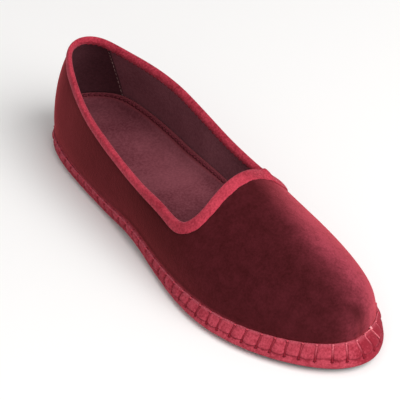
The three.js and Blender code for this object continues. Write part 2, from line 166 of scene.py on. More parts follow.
def alongLast(rows, column, shape=None, heelShare=None, toeShare=None):
    shape = shape or (lambda phi: 1.0)
    angles = [phiOf(row[0]) for row in rows]
    shares = [row[column] / shape(angle) for row, angle in zip(rows, angles)]
    heelShare = shares[0] if heelShare is None else heelShare
    toeShare = shares[-1] if toeShare is None else toeShare
    share = smoothLine([0.0, *angles, halfTurn], [heelShare, *shares, toeShare])
    return lambda phi: share(phi) * shape(phi)


def bothSides(rows, column, *shape):  # the lateral values stand in one column, the medial ones in the next
    return {"lateral": alongLast(rows, column, *shape), "medial": alongLast(rows, column + 1, *shape)}


def roundEnd(radius):
    return math.sqrt(radius * last["length"] / 2)


def toeFall(phi):  # the crest drops to the feather line at the toe's tip
    return math.sqrt(max(0.0, math.sin(phi))) if phi > halfTurn / 2 else 1.0


halfWidth = bothSides(outlineRows, 1, math.sin, roundEnd(last["heelRadius"]), roundEnd(last["toeRadius"]))
taper = bothSides(sectionRows, 2)
bulge = bothSides(sectionRows, 4)
spread = bothSides(spreadRows, 1)
featherInset = bothSides(featherRows, 1)
featherLift = alongLast(featherRows, 3)
crestOverMean = alongLast(sectionRows, 1, toeFall, last["crestAtHeel"], last["crestAtToe"])


def crestHeight(phi):
    return crestOverMean(phi) - featherLift(phi) * toeFall(phi)


def ground(station):  # underside of the sole: lifted at the waist and at the toe
    waist = last["waist"]
    along = clamp((station - waist["start"]) / (waist["end"] - waist["start"]))
    spring = last["toeSpring"]
    toe = max(0.0, (station - spring["start"]) / (last["length"] - spring["start"]))
    return waist["lift"] * math.sin(math.pi * along) ** 2 + spring["lift"] * toe**2


def sideAt(turn):
    return "lateral" if turn <= halfTurn else "medial"


def fromSide(theta, side):  # theta is counted from the lateral foot
    return theta if side == "lateral" else math.pi - theta


def phiAt(turn):  # a turn goes round the sole: heel, lateral side, toe, medial side
    return turn if turn <= halfTurn else 2 * halfTurn - turn


def outline(turn):
    phi = phiAt(turn)
    sign = 1 if turn <= halfTurn else -1
    return Vector((stationOf(phi), sign * halfWidth[sideAt(turn)](phi)))


def edge(turn, inset):
    step = 1e-3
    along = (outline(turn + step) - outline(turn - step)).normalized()
    return outline(turn) + Vector((along.y, -along.x)) * inset


def heelToToe(size, station):
    return mix(size["heel"], size["toe"], ease(station, size["start"], size["end"]))


def swellAt(phi, rise):  # the wall stands out a little over the sole's edge
    share = rise / last["swell"]["rise"]
    return heelToToe(last["swell"], stationOf(phi)) * share * math.exp(1 - share)


def reach(cosine, sideTaper):
    softened = (cosine * cosine + last["crestRound"] ** 2) / (1 + last["crestRound"] ** 2)
    return cosine * softened ** ((sideTaper - 1) / 2)


def crestUnder(phi, depth):
    crest = crestHeight(phi)
    return crest * crest / (crest + depth)


# The frame's origin lies under the middle of the slipper, so the outsole's box gives the centre line
outsoleInset = 2.2


def soleEdge(turn, inset):  # inset from the covered midsole's widest line
    return edge(turn, inset - spread[sideAt(turn)](phiAt(turn)))


outsoleLow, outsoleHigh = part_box("outsole")
outsoleRim = [soleEdge(halfTurn * k / 44, outsoleInset) for k in range(88)]
stations = sorted(at.x for at in outsoleRim)
acrosses = sorted(at.y for at in outsoleRim)
centreX = (outsoleLow.x + outsoleHigh.x) / 2 / mm + (acrosses[0] + acrosses[-1]) / 2
centreY = (outsoleLow.y + outsoleHigh.y) / 2 / mm + (stations[0] + stations[-1]) / 2


def place(station, across, height):
    return Vector((centreX - across, centreY - station, height)) * mm


def lastPoint(phi, theta, depth, lift=0.0):  # theta goes from the lateral foot over the crest
    rise = crestUnder(phi, depth) * math.sin(theta)
    under = depth - swellAt(phi, rise)
    lateralFoot = edge(phi, featherInset["lateral"](phi) + under)
    medialFoot = edge(2 * halfTurn - phi, featherInset["medial"](phi) + under)
    side = "lateral" if math.cos(theta) >= 0 else "medial"
    toFoot = reach(math.cos(theta), taper[side](phi))
    footWidth = lateralFoot.y if side == "lateral" else -medialFoot.y
    across = footWidth * toFoot + bulge[side](phi) * math.sin(2 * theta)
    flat = (lateralFoot.x * (1 + toFoot) + medialFoot.x * (1 - toFoot)) / 2
    lean = last["heelLean"]
    nearHeel = max(0.0, 1 - flat / lean["reach"]) ** 2
    forward = lean["top"] * nearHeel * (max(0.0, rise - lean["above"]) / lean["over"]) ** 2
    return place(flat + forward, across, last["feather"] + featherLift(phi) + ground(flat) + rise + lift)


def topEdge(side):  # the upper's top edge on one side, heel to the middle of the throat
    column = 1 if side == "lateral" else 2
    wall = []
    for row in collarRows:
        phi = phiOf(row[0])
        rise = row[column] - last["feather"] - featherLift(phi) - ground(row[0])
        wall.append((phi, math.asin(rise / crestHeight(phi))))
    chain = wall + [(phiOf(station), math.radians(angle)) for station, angle in throatRows]
    behind = [(-phi, theta) for phi, theta in (chain[2], chain[1])]
    beyond = [(phi, math.pi - theta) for phi, theta in (chain[-2], chain[-3])]
    rows = behind + chain + beyond
    halfLength, girth = last["length"] / 2, last["girthRadius"]
    lengths = runningLengths([Vector((phi * halfLength, theta * girth)) for phi, theta in rows])
    return {
        "phi": smoothLine(lengths, [row[0] for row in rows]),
        "theta": smoothLine(lengths, [row[1] for row in rows]),
        "start": lengths[2],
        "corner": lengths[1 + len(wall)],
        "end": lengths[1 + len(chain)],
    }


def thetaAtShare(share, sideTaper):
    low, high = halve(0.0, math.pi / 2, lambda theta: reach(math.cos(theta), sideTaper) > share, 30)
    return (low + high) / 2


class Column:  # a line over the skin from the top edge down to the feather line
    samples = 40

    def __init__(self, side, top, footPhi, fan, throat):
        self.side = side
        self.throat = throat
        self.footPhi = footPhi
        topPhi, topTheta = top
        width = halfWidth[side]
        topAcross = reach(math.cos(topTheta), taper[side](topPhi)) * width(topPhi)
        self.nodes = []
        for i in range(self.samples + 1):
            share = 1 - (1 - i / self.samples) ** 2
            fanPhi = min(phiOf(mix(stationOf(topPhi), stationOf(footPhi), share)), halfTurn - 1e-4)
            fanShare = clamp(mix(topAcross, width(footPhi), share) / max(width(fanPhi), 1e-6))
            fanTheta = 0.0 if i == self.samples else thetaAtShare(fanShare, taper[side](fanPhi))
            phi = mix(mix(topPhi, footPhi, share), fanPhi, fan)
            theta = mix(topTheta * (1 - share), fanTheta, fan)
            self.nodes.append((phi, fromSide(theta, side)))
        self.lengths = runningLengths([lastPoint(phi, theta, 0) for phi, theta in self.nodes], mm)
        self.length = self.lengths[-1]

    def at(self, length):
        i, share = spanAt(self.lengths, length)
        one, two = self.nodes[i], self.nodes[i + 1]
        return mix(one[0], two[0], share), mix(one[1], two[1], share)

    def point(self, length, depth, lift=0.0):
        phi, theta = self.at(length)
        return lastPoint(phi, theta, depth, lift)


def columnsAround(wallColumns, throatColumns):
    footCorner = phiOf(last["throatFoot"])
    sides = {}
    for side in ("lateral", "medial"):
        top = topEdge(side)
        cornerPhi = top["phi"](top["corner"])
        sides[side] = []
        for i in range(wallColumns + throatColumns + 1):
            alongWall = min(1.0, i / wallColumns)
            alongThroat = max(0.0, (i - wallColumns) / throatColumns)
            length = mix(top["start"], top["corner"], alongWall)
            length += (top["end"] - top["corner"]) * alongThroat
            topPoint = (max(0.0, top["phi"](length)), top["theta"](length))
            foot = topPoint[0] / cornerPhi * footCorner
            if i > wallColumns:
                foot = mix(footCorner, halfTurn - 1e-4, alongThroat)
            fan = ease(alongThroat, 0, 0.35)
            throat = ease(alongWall + alongThroat, 0.75, 1.2)
            sides[side].append(Column(side, topPoint, foot, fan, throat))
    return sides["lateral"] + sides["medial"][-2:0:-1]


class Loop:  # lengths along a closed line around the sole, to step along it evenly
    def __init__(self, pointAtTurn, count=1440):
        self.turns = [2 * halfTurn * k / count for k in range(count + 1)]
        self.lengths = runningLengths([pointAtTurn(turn) for turn in self.turns])
        self.total = self.lengths[-1]

    def turnAt(self, share):
        i, part = spanAt(self.lengths, share % 1.0 * self.total)
        return mix(self.turns[i], self.turns[i + 1], part)

    def lengthAt(self, turn):
        i, part = spanAt(self.turns, turn % (2 * halfTurn))
        return mix(self.lengths[i], self.lengths[i + 1], part)


# Making pieces
def clothLayer(bm):
    return bm.loops.layers.uv.get("cloth") or bm.loops.layers.uv.new("cloth")


def layCloth(bm, mapAt):  # turns each corner's place on the grid into its place on the cloth
    cloth = clothLayer(bm)
    for face in bm.faces:
        for loop in face.loops:
            loop[cloth].uv = mapAt(loop[cloth].uv.x, loop[cloth].uv.y)


def shapedGrid(acrossCount, upCount, pointAt, into=None):
    bm = into or bmesh.new()
    clothLayer(bm)
    made = bmesh.ops.create_grid(bm, x_segments=acrossCount, y_segments=upCount, size=0.5, calc_uvs=True)
    for vert in made["verts"]:
        vert.co = pointAt(vert.co.x + 0.5, vert.co.y + 0.5)
    return bm


def closeGrid(bm, apart=1e-6):
    bmesh.ops.remove_doubles(bm, verts=bm.verts, dist=apart)
    bmesh.ops.dissolve_degenerate(bm, edges=bm.edges, dist=1e-8)
    bmesh.ops.recalc_face_normals(bm, faces=bm.faces)
    return bm


def ringAngle(share, sides):  # both ends of a ring fall on the same angle
    return 2 * math.pi * (round(share * sides) % sides) / sides


def threadInto(bm, pathAt, radius, steps, sides=6):  # a round thread along a path, with closed ends
    points = [pathAt(i / steps) for i in range(steps + 1)]
    rings = []
    for i, point in enumerate(points):
        ahead = (points[min(i + 1, steps)] - points[max(i - 1, 0)]).normalized()
        aside = ahead.cross(Vector((0.31, 0.17, 0.93))).normalized()  # a direction that no thread follows
        rings.append((point, aside, ahead.cross(aside)))

    def pointAt(u, v):
        point, aside, above = rings[min(steps, max(0, round(v * (steps + 2)) - 1))]
        girth = 0.35 * radius if v in (0.0, 1.0) else radius
        angle = ringAngle(u, sides)
        return point + (aside * math.cos(angle) + above * math.sin(angle)) * girth * mm

    return shapedGrid(sides, steps + 2, pointAt, into=bm)


def sewDashes(bm, sewn, count, start, pointAt):  # short stitches in a row; pointAt counts in pitches
    for k in range(count):

        def dashAt(share, k=k):
            return pointAt(k + start + share * sewn["dash"] / sewn["dashPitch"], math.sin(math.pi * share))

        threadInto(bm, dashAt, sewn["dashRadius"], 4, 5)


def linked(name, data):
    holder = bpy.data.objects.new(name, data)
    bpy.context.scene.collection.objects.link(holder)
    return holder


def meshObject(bm, name, material):
    mesh = bpy.data.meshes.new(name)
    bm.to_mesh(mesh)
    bm.free()
    mesh.materials.append(material)
    return linked(name, mesh)


def addPiece(bm, name, material, stands=None, thick=0.0, offset=1.0, subdivide=0):
    piece = meshObject(bm, name, material)
    piece.data.shade_smooth()
    if thick:
        wall = piece.modifiers.new("wall", "SOLIDIFY")
        wall.thickness = thick * mm
        wall.offset = offset
    if subdivide:
        smooth = piece.modifiers.new("smooth", "SUBSURF")
        smooth.levels = subdivide
        smooth.render_levels = subdivide
    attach(piece, "root")
    if stands:
        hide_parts(stands)
    print("made", name, len(piece.data.polygons), "faces")
    return piece


# Materials
def tone(red, green, blue):  # a colour as a picture editor gives it
    def linear(value):
        value /= 255
        return value / 12.92 if value <= 0.04045 else ((value + 0.055) / 1.055) ** 2.4

    return (linear(red), linear(green), linear(blue), 1.0)


class Wire:  # a value in a material: sums on it add Math nodes
    def __init__(self, tree, socket=None):
        self.tree = tree
        self.socket = socket

    def node(self, kind, settings=None, sockets=None, out=0):
        made = self.tree.nodes.new(kind)
        for name, value in (settings or {}).items():
            setattr(made, name, value)
        for name, value in (sockets or {}).items():
            if isinstance(value, Wire):
                self.tree.links.new(value.socket, made.inputs[name])
            else:
                made.inputs[name].default_value = value
        return Wire(self.tree, made.outputs[out])

    def math(self, operation, other=0.0, swapped=False):
        one, two = (other, self) if swapped else (self, other)
        return self.node("ShaderNodeMath", {"operation": operation}, {0: one, 1: two})

    def __add__(self, other):
        return self.math("ADD", other)

    def __sub__(self, other):
        return self.math("SUBTRACT", other)

    def __rsub__(self, other):
        return self.math("SUBTRACT", other, swapped=True)

    def __mul__(self, other):
        return self.math("MULTIPLY", other)

    __radd__ = __add__
    __rmul__ = __mul__

    def blend(self, one, two):  # a colour between two, by this value
        return self.node("ShaderNodeMix", {"data_type": "RGBA"}, {0: self, 6: one, 7: two}, out=2)

    def between(self, low, high):  # 0 under low, 1 over high, eased
        settings = {"interpolation_type": "SMOOTHSTEP"}
        return self.node("ShaderNodeMapRange", settings, {"Value": self, "From Min": low, "From Max": high})


def newMaterial(name, fixed):
    material = bpy.data.materials.new(name)
    material.use_nodes = True
    shader = material.node_tree.nodes["Principled BSDF"]
    for socket, value in fixed.items():
        shader.inputs[socket].default_value = value
    return material


def placedMaterial(name, fixed):  # a material and the place on the object that its patterns read
    material = newMaterial(name, fixed)
    return material, Wire(material.node_tree).node("ShaderNodeTexCoord", out="Object")


clothFinish = {  # the sheen's weight, roughness and tint, and the specular level
    "velvet": (0.7, 0.42, (1.0, 0.13, 0.16, 1.0), 0.04),
    "band": (0.25, 0.45, (1.0, 0.3, 0.38, 1.0), 0.1),
    "tape": (0.4, 0.4, (1.0, 0.35, 0.42, 1.0), 0.1),
    "twill": (0.1, 0.5, (0.6, 0.25, 0.3, 1.0), 0.06),
}


def newCloth(name, finish):
    sockets = ("Sheen Weight", "Sheen Roughness", "Sheen Tint", "Specular IOR Level")
    return placedMaterial(name, dict(zip(sockets, clothFinish[finish])))


def feed(material, **sockets):
    tree = material.node_tree
    names = {"colour": "Base Color", "roughness": "Roughness", "normal": "Normal"}
    for name, value in sockets.items():
        tree.links.new(value.socket, tree.nodes["Principled BSDF"].inputs[names[name]])
    return material


def clothPlace(where):  # the piece's own map, along and across its cloth
    return parts(where.node("ShaderNodeUVMap", {"uv_map": "cloth"}))


def noise(where, scale, detail=2.0, roughness=0.5):
    sockets = {"Vector": where, "Scale": scale, "Detail": detail, "Roughness": roughness}
    return where.node("ShaderNodeTexNoise", None, sockets, out="Fac")


def stretched(where, scale, turn):
    return where.node("ShaderNodeMapping", None, {"Vector": where, "Scale": scale, "Rotation": turn})


def parts(where):
    outputs = where.node("ShaderNodeSeparateXYZ", None, {0: where}).socket.node.outputs
    return Wire(where.tree, outputs["X"]), Wire(where.tree, outputs["Y"])


def bump(height, strength, depth):
    sockets = {"Height": height, "Strength": strength, "Distance": depth * mm}
    return height.node("ShaderNodeBump", None, sockets)


velvet = {
    "deep": tone(43, 9, 9),
    # bright is the tone of the painted sheen
    "bright": tone(153, 60, 75),
    "pileScale": 2600.0,
    "grainScale": 800.0,
    "crushScale": 170.0,
    "patchScale": 30.0,
    "patchMix": 0.05,
    "crushMix": 0.02,
    "grainMix": 0.01,
}


def velvetMaterial():
    material, where = newCloth("velvet", "velvet")
    pile = noise(where, velvet["pileScale"], 2.0, 0.6)
    grain = noise(where, velvet["grainScale"], 3.0, 0.65).between(0.3, 0.7)
    strokes = stretched(where, (1.0, 0.4, 1.6), (0.2, 0.5, 0.3))
    brushed = noise(strokes, velvet["patchScale"], 4.0, 0.55).between(0.25, 0.75)
    crushed = noise(where, velvet["crushScale"], 3.0, 0.6).between(0.3, 0.7)
    # the nap attribute holds the pile's patches together with painted sheen and painted highlights
    napAndSheen = where.node("ShaderNodeAttribute", {"attribute_name": "napAndSheen"}, out="Fac")
    broken = napAndSheen * (0.6 + 0.45 * grain + 0.35 * crushed)
    broken = broken + (brushed - 0.5) * velvet["patchMix"] + (crushed - 0.5) * velvet["crushMix"]
    broken = broken + (grain - 0.5) * velvet["grainMix"]
    colour = broken.node("ShaderNodeClamp", None, {"Value": broken}).blend(velvet["deep"], velvet["bright"])
    height = pile * 0.15 + grain * 0.2 + brushed * 0.25 + crushed * 0.15
    return feed(material, colour=colour, roughness=0.8 + 0.18 * pile, normal=bump(height, 0.3, 0.8))


clothTones = {
    "band": (tone(138, 34, 48), tone(202, 80, 96)),
    "tape": (tone(137, 31, 46), tone(206, 70, 88)),
    "thread": (tone(190, 64, 80), tone(228, 130, 140)),
    "knot": (tone(214, 104, 116), tone(244, 178, 182)),
    "bar": (tone(130, 28, 42), tone(220, 108, 122)),
    "sunkThread": (tone(150, 50, 64), tone(204, 102, 116)),
    "darkThread": (tone(82, 30, 39), tone(128, 52, 64)),
    "bindingThread": (tone(104, 18, 32), tone(140, 32, 48)),
    "paleThread": (tone(118, 84, 84), tone(166, 134, 130)),
    "insole": (tone(88, 36, 45), tone(154, 86, 96)),
    "lining": (tone(109, 60, 69), tone(142, 87, 96)),
    "heelLining": (tone(64, 33, 38), tone(87, 48, 55)),
}
# threads get a painted highlight at the bars' upper ends and painted shade away from the toe
threadLook = {"twistScale": 1700.0, "highlightSpan": (0.2, 0.75), "toe": (-0.118, -0.102), "shadeAwayFromToe": 0.85}


def threadMaterial(name, tones, fade=False, atToe=False):
    material, where = placedMaterial(name, {"Specular IOR Level": 0.1})
    twist = noise(stretched(where, (1, 1, 2.5), (0.6, 0.4, 0.2)), threadLook["twistScale"])
    shade = twist.between(0.3, 0.7)
    if fade:  # painted highlight at its upper end alone
        _, along = clothPlace(where)
        shade = (1 - along.between(*threadLook["highlightSpan"])) * (0.45 + 0.55 * shade)
    if atToe:  # painted shade, darkening from the toe on towards the heel
        _, toHeel = parts(where)
        shade = shade * (1 - toHeel.between(*threadLook["toe"]) * threadLook["shadeAwayFromToe"])
    normal = bump(twist, 0.6, 0.25)
    return feed(material, colour=shade.blend(*tones), roughness=0.62 + 0.2 * twist, normal=normal)


def addThreads(bm, name, slot, look, tones, **light):
    addPiece(closeGrid(bm, 1e-7), name, threadMaterial(look, clothTones[tones], **light))


bandLook = {  # scales of the weave; tone and strength of the painted shade along the bars, in the crease and in the holes, and of the painted highlight on the cells' top rim; how much painted shade darkens the cloth towards the heel and at the toe's inner tip
    "weaveScale": 1000.0,
    "wornScale": 220.0,
    "barGrooveShade": (tone(108, 22, 35), 0.6),
    "creaseShade": (tone(112, 22, 36), 0.6),
    "holeShade": (tone(92, 17, 29), 0.8),
    "topHighlight": (tone(218, 112, 126), 0.25),
    "paintedShadeToHeel": 0.2,
    "paintedShadeAtTip": 0.55,
}


def bandMaterial():
    material, where = newCloth("band_cloth", "band")
    weave = noise(where, bandLook["weaveScale"], 3.0, 0.7).between(0.3, 0.7)
    worn = noise(where, bandLook["wornScale"], 3.0, 0.6)
    along, up = clothPlace(where)
    bay = along.math("FRACT")
    fromBar = 0.5 - (bay - 0.5).math("ABSOLUTE")
    barGrooveShade = 1 - (fromBar + (worn - 0.5) * 0.12).between(0.03, 0.16)
    sewn = up.between(band["holeRise"] - 0.04, band["holeRise"] + 0.04) * (1 - up.between(0.97, 1.0))
    fromRow = (up - band["creaseRise"]).math("ABSOLUTE")
    creaseShade = 1 - (fromRow + (worn - 0.5) * 0.2).between(0.0, 0.09)
    fromHole = (up - band["holeRise"]).math("ABSOLUTE") * 1.6 + fromBar * 0.7
    holeShade = 1 - fromHole.between(0.06, 0.13)
    topHighlight = up.between(0.88, 1.0) * (1 - barGrooveShade)
    inward, toHeel = parts(where)
    shadedTip = (inward * 0.81 - toHeel * 0.58).between(0.066, 0.079)  # painted shade on the inner side of the toe's tip, which is turned away from the light
    shadedTip = shadedTip * (1 - toHeel.between(-0.11, -0.095))
    shade = worn.between(0.25, 0.75) * 0.4 + weave * 0.55
    # painted shade towards the heel and on the toe's inner tip
    shade = shade - toHeel.between(-0.08, 0.0) * bandLook["paintedShadeToHeel"] - shadedTip * bandLook["paintedShadeAtTip"]
    colour = shade.blend(*clothTones["band"])
    # painted shade in the bars' grooves, the crease and the holes, and a painted highlight on the cells'
    # top rim
    for name, mask in {"barGrooveShade": barGrooveShade * sewn, "creaseShade": creaseShade, "holeShade": holeShade, "topHighlight": topHighlight}.items():
        traceTone, strength = bandLook[name]
        colour = (mask * strength).blend(colour, traceTone)
    normal = bump(weave * 0.5 + worn * 0.5, 0.55, 0.45)
    return feed(material, colour=colour, roughness=0.74 + 0.2 * weave, normal=normal)


tapeLook = {  # painted light on the tape's bend at the throat, by share of the way around
    "fuzzScale": 900.0,
    "wornScale": 150.0,
    "bendStart": (0.24, 0.32),
    "bendEnd": (0.44, 0.54),
    "bendPaintedLight": 0.28,
}


def tapeMaterial(ringLength):
    material, where = newCloth("binding_tape", "tape")
    along, _ = clothPlace(where)
    rib = (along * (2 * math.pi / binding["ribPitch"])).math("SINE") * 0.5 + 0.5
    fuzz = noise(where, tapeLook["fuzzScale"], 3.0, 0.7)
    worn = noise(where, tapeLook["wornScale"], 3.0, 0.55)
    shade = worn.between(0.25, 0.75) * 0.35 + fuzz.between(0.3, 0.7) * 0.6 + rib * 0.05
    turn = along * (1 / ringLength)
    # painted light where the tape bends over the throat
    bend = turn.between(*tapeLook["bendStart"]) * (1 - turn.between(*tapeLook["bendEnd"]))
    colour = (shade * 0.9 + bend * tapeLook["bendPaintedLight"] - 0.12).blend(*clothTones["tape"])
    normal = bump(rib * 0.15 + fuzz * 0.85, 0.75, 0.5)
    return feed(material, colour=colour, roughness=0.76 + 0.18 * fuzz, normal=normal)


twillLook = {  # painted light on the insole at the arch, by metres towards the heel and the inner side
    "ribScale": 640.0,
    "fuzzScale": 800.0,
    "wornScale": 45.0,
    "archStart": (-0.005, 0.045),
    "archEnd": (0.055, 0.1),
    "archInner": (-0.01, 0.025),
}


def twillMaterial(name, tones, rim=None):  # fine diagonal ribs; the insole's rim has its own colour
    material, where = newCloth(name, "twill")
    diagonal = {"wave_type": "BANDS", "bands_direction": "DIAGONAL"}
    ribs = {"Vector": where, "Scale": twillLook["ribScale"], "Distortion": 2.0}
    twill = where.node("ShaderNodeTexWave", diagonal, ribs, out="Fac")
    fuzz = noise(where, twillLook["fuzzScale"], 3.0, 0.7)
    worn = noise(where, twillLook["wornScale"], 3.0, 0.5)
    shade = worn.between(0.3, 0.7) * 0.4 + twill * 0.08 + fuzz.between(0.3, 0.7) * 0.52
    if rim:
        toInner, toHeel = parts(where)
        # painted light at the arch, more on the inner side
        paintedArchLight = toHeel.between(*twillLook["archStart"]) * (1 - toHeel.between(*twillLook["archEnd"]))
        shade = shade * 0.62 + paintedArchLight * (0.02 + 0.32 * toInner.between(*twillLook["archInner"]))
    colour = shade.blend(*tones)
    if rim:
        _, up = clothPlace(where)
        inside = up.between(insole["stitchIn"] + 0.7, insole["stitchIn"] + 1.6)
        colour = inside.blend(rim, colour)
    normal = bump(twill * 0.3 + fuzz * 0.7, 0.4, 0.3)
    return feed(material, colour=colour, roughness=0.8 + 0.15 * fuzz, normal=normal)


def rubberMaterial():
    material, where = placedMaterial("outsole_rubber", {"Specular IOR Level": 0.35})
    grain = noise(where, outsole["grainScale"], 3.0, 0.6)
    dust = noise(where, outsole["dustScale"], 3.0, 0.5)
    colour = (dust * 0.6 + grain * 0.4).between(0.3, 0.8).blend(outsole["dark"], outsole["dusty"])
    return feed(material, colour=colour, roughness=0.62 + 0.25 * dust, normal=bump(grain, 0.5, 0.3))


# Sole: rubber outsole, cloth-covered midsole with its blanket stitch
outsole = {
    "thick": 1.55,
    "footInset": 2.6,
    "round": 0.3,
    "ledge": 2.5,  # how far its top reaches in under the band
    "around": 320,
    "dark": tone(44, 35, 34),
    "dusty": tone(78, 64, 60),
    "grainScale": 900.0,
    "dustScale": 60.0,
}
band = {
    "base": 1.55,  # height of its underside
    "thick": 7.95,
    "lip": 1.1,
    "tuck": 1.1,
    "stitchPitch": 7.6,
    "bayShares": (0.0, 0.025, 0.055, 0.09, 0.14, 0.22, 0.34, 0.5, 0.66, 0.78, 0.86, 0.91, 0.945, 0.975),
    "creaseRise": 0.48,
    "holeRise": 0.37,
    "puff": 0.8,
    "cinch": 0.55,
    "creaseDepth": 0.5,
    "holeDepth": 0.8,
    "roll": 0.3,
    "settle": 0.25,
    "scallop": 0.35,
    "under": {"edge": 3.0, "middle": 6.0},  # how far in its hidden faces run, from the edge and across
    "top": {"edge": 1.6, "middle": 9.0},
    "peakTurn": 3.42,  # a bar with a large knot stands here, at the toe
    "threadRadius": 0.56,
    "edgeThreadRadius": 0.34,
    "knotRadius": 0.42,
    "tiedRadius": 0.66,  # the large knot and its two legs
    "legAsideRadius": 0.3,
    "legDownRadius": 0.34,
}
bandSide = [  # rise, share of the tuck, share of the way in to the upper
    (0.0, 0.9, 0.0), (0.08, 0.35, 0.0), (0.22, 0.0, 0.02), (0.4, 0.15, 0.14), (0.6, 0.0, 0.38),
    (0.85, 0.04, 0.8), (1.0, 0.3, 1.0),
]
tuckAt = smoothLine([row[0] for row in bandSide], [row[1] for row in bandSide])
leanAt = smoothLine([row[0] for row in bandSide], [row[2] for row in bandSide])


def bandPoint(turn, rise, out=0.0, lift=0.0):
    phi, side = phiAt(turn), sideAt(turn)
    inward = featherInset[side](phi) - band["lip"] + spread[side](phi)
    at = soleEdge(turn, tuckAt(rise) * band["tuck"] + leanAt(rise) * inward - out)
    height = band["base"] + rise * (band["thick"] + featherLift(phi))
    return place(at.x, at.y, ground(at.x) + height + lift)


def middlePoint(turn, inset, height):  # on the middle line between both sides
    phi = phiAt(turn)
    at = (edge(phi, inset) + edge(2 * halfTurn - phi, inset)) / 2
    return place(at.x, at.y, ground(at.x) + height)


bandLoop = Loop(lambda turn: bandPoint(turn, 0.5))
stitchCount = round(bandLoop.total / mm / band["stitchPitch"])


def scatter(low, high):  # one chance value for each stitch
    return [dice.uniform(low, high) for _ in range(stitchCount)]


stitchSway = scatter(-0.16, 0.16)
stitchPuff = scatter(0.7, 1.2)
stitchShift = scatter(-0.09, 0.09)
stitchSag = scatter(-0.05, 0.09)
stitchShift[0] = 0.0  # the bar with the large knot stays in its place
peakShare = bandLoop.lengthAt(band["peakTurn"]) / bandLoop.total


def stitchTurn(stitch):  # bars lie at whole numbers, the first at the toe's peak
    return bandLoop.turnAt(stitch / stitchCount + peakShare)


def barSpace(stitch, rise):  # bars lean a little and are not quite evenly spaced
    k = math.floor(stitch)
    shift = mix(stitchShift[k % stitchCount], stitchShift[(k + 1) % stitchCount], stitch - k)
    return stitch + shift + stitchSway[round(stitch) % stitchCount] * (rise - 0.7)


def barStitch(k, rise):  # where bar k lies at this rise
    return k - stitchShift[k] - stitchSway[k] * (rise - 0.7)


def makeOutsole():
    top = outsole["thick"]
    foot = (outsole["footInset"] + outsole["round"], 0.0)
    ledge = (outsoleInset + outsole["ledge"], top)
    # inset, height; the first and last row lie on the middle line
    rows = [foot, foot, (outsole["footInset"], outsole["round"])]
    rows += [(outsoleInset, top / 2), (outsoleInset, top), ledge, ledge]

    def pointAt(u, v):
        row = round(v * (len(rows) - 1))
        turn = bandLoop.turnAt(u)
        inset, height = rows[row]
        if row in (0, len(rows) - 1):
            return middlePoint(turn, inset, height)
        at = soleEdge(turn, inset)
        return place(at.x, at.y, ground(at.x) + height)

    bm = closeGrid(shapedGrid(outsole["around"], len(rows) - 1, pointAt))
    addPiece(bm, "rubber_outsole", rubberMaterial(), "outsole")


def sagAt(stitch):  # the crease hangs a little between two bars
    return stitchSag[int(stitch) % stitchCount] * math.sin(math.pi * (stitch % 1.0))


def bandOut(stitch, rise):  # how far the cloth stands out between the stitches
    bay = stitch % 1.0
    rise += sagAt(stitch)
    fromBar = min(bay, 1 - bay)
    sewn = ease(rise, band["holeRise"] - 0.02, band["creaseRise"] + 0.1) * (1 - 0.5 * ease(rise, 0.88, 1.0))
    puff = band["puff"] * stitchPuff[int(stitch) % stitchCount]
    swell = puff * math.sin(math.pi * bay) ** 0.6 * sewn
    pinch = band["cinch"] * hump(fromBar, 0.06) * sewn
    row = band["creaseDepth"] * hump(rise - band["creaseRise"], 0.05)
    fromHole = math.hypot(fromBar * 0.8, (rise - band["holeRise"]) * 1.4)
    pit = band["holeDepth"] * hump(fromHole, 0.085)
    roll = band["roll"] * hump(rise - 0.18, 0.12)
    return swell - pinch - row - pit + roll - band["settle"]


def makeBand():
    rises = [0.0, 0.05, 0.11, 0.18, 0.25, 0.3, 0.34, 0.37, 0.4, 0.43, 0.455, 0.48, 0.505, 0.53, 0.57, 0.62]
    rises += [0.68, 0.74, 0.8, 0.86, 0.91, 0.955, 1.0]
    shares = band["bayShares"]
    around = stitchCount * len(shares)
    rowCount = len(rises) + 3

    def stitchAt(u):
        k = round(u * around)
        return k // len(shares) + shares[k % len(shares)]

    def pointAt(u, v):
        row = round(v * rowCount) - 2
        stitch = stitchAt(u)
        turn = stitchTurn(stitch)
        if row == -2:
            return middlePoint(turn, band["under"]["middle"], band["base"])
        if row == -1:
            return bandPoint(turn, 0.0, -band["under"]["edge"])
        if row == len(rises):
            return bandPoint(turn, 1.0, -band["top"]["edge"])
        if row > len(rises):
            height = band["base"] + band["thick"] + featherLift(phiAt(turn))
            return middlePoint(turn, band["top"]["middle"], height)
        rise = rises[row]
        at = barSpace(stitch, rise)
        scallop = band["scallop"] * math.sin(math.pi * (at % 1.0)) * ease(rise, 0.84, 1.0)
        return bandPoint(turn, rise, bandOut(at, rise), scallop)

    def mapAt(u, v):  # stitch number and rise
        rise = rises[int(clamp(round(v * rowCount) - 2, 0, len(rises) - 1))]
        stitch = barSpace(stitchAt(u), rise)
        return stitch + 1, rise + sagAt(stitch) * (1 - ease(rise, 0.6, 0.9))

    bm = shapedGrid(around, rowCount, pointAt)
    layCloth(bm, mapAt)
    addPiece(closeGrid(bm), "covered_midsole", bandMaterial(), "midsole")


